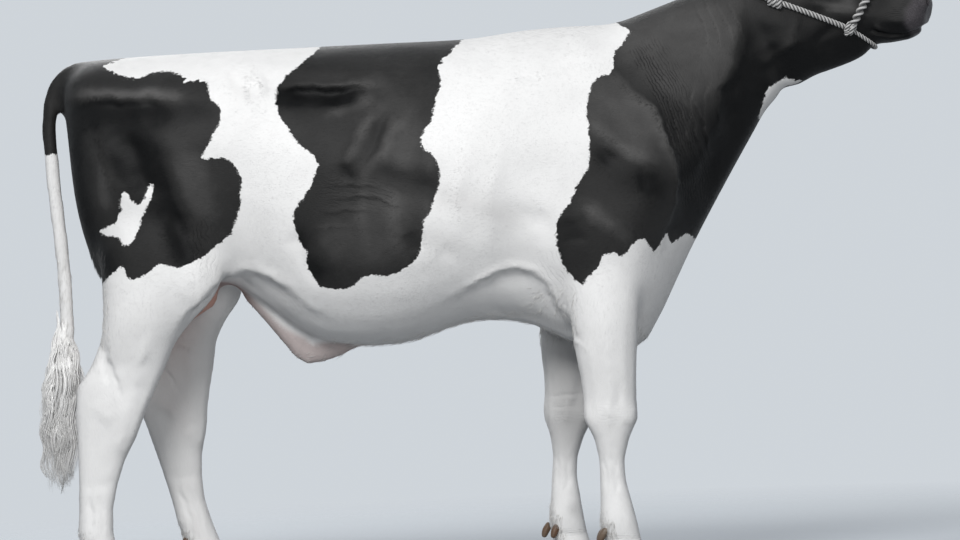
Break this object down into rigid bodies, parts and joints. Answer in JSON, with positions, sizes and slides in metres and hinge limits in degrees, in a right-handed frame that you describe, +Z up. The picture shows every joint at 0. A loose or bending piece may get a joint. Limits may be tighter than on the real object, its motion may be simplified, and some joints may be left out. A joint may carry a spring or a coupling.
{
  "type": "holstein bull",
  "caption": "Life-size standing black and white dairy bull in a rope halter, head raised, legs set as in a show stance.",
  "frame": {"origin": "on the floor, in the middle of the model's length and width", "axes": "+X from tail to head, +Y to the bull's left side, +Z up"},
  "size_m": [2.5858, 0.7, 1.7736],
  "materials": {
    "black_coat": "short glossy black hair",
    "white_coat": "short clean white hair",
    "bare_skin": "thin-haired pinkish skin",
    "horn": "dull brown and cream hoof horn",
    "eye": "wet dark eye",
    "rope": "twisted grey and white rope"
  },
  "bodies": {
    "root": {"trunk": "white_coat", "neck": "black_coat", "eye_right": "eye", "ear_right": "black_coat", "eye_left": "eye", "ear_left": "black_coat", "head": "black_coat", "leg_fore_right": "white_coat", "claw_fore_right_outer": "horn", "dewclaw_fore_right_outer": "horn", "claw_fore_right_inner": "horn", "dewclaw_fore_right_inner": "horn", "leg_fore_left": "white_coat", "claw_fore_left_outer": "horn", "dewclaw_fore_left_outer": "horn", "claw_fore_left_inner": "horn", "dewclaw_fore_left_inner": "horn", "leg_hind_right": "white_coat", "claw_hind_right_outer": "horn", "dewclaw_hind_right_outer": "horn", "claw_hind_right_inner": "horn", "dewclaw_hind_right_inner": "horn", "leg_hind_left": "white_coat", "claw_hind_left_outer": "horn", "dewclaw_hind_left_outer": "horn", "claw_hind_left_inner": "horn", "dewclaw_hind_left_inner": "horn", "tail": "white_coat", "tail_switch": "white_coat", "sheath": "bare_skin", "scrotum": "bare_skin", "halter_nose": "rope", "halter_chin": "rope", "halter_headstall": "rope", "halter_knot_right": "rope", "halter_knot_left": "rope"}
  },
  "joints": []
}
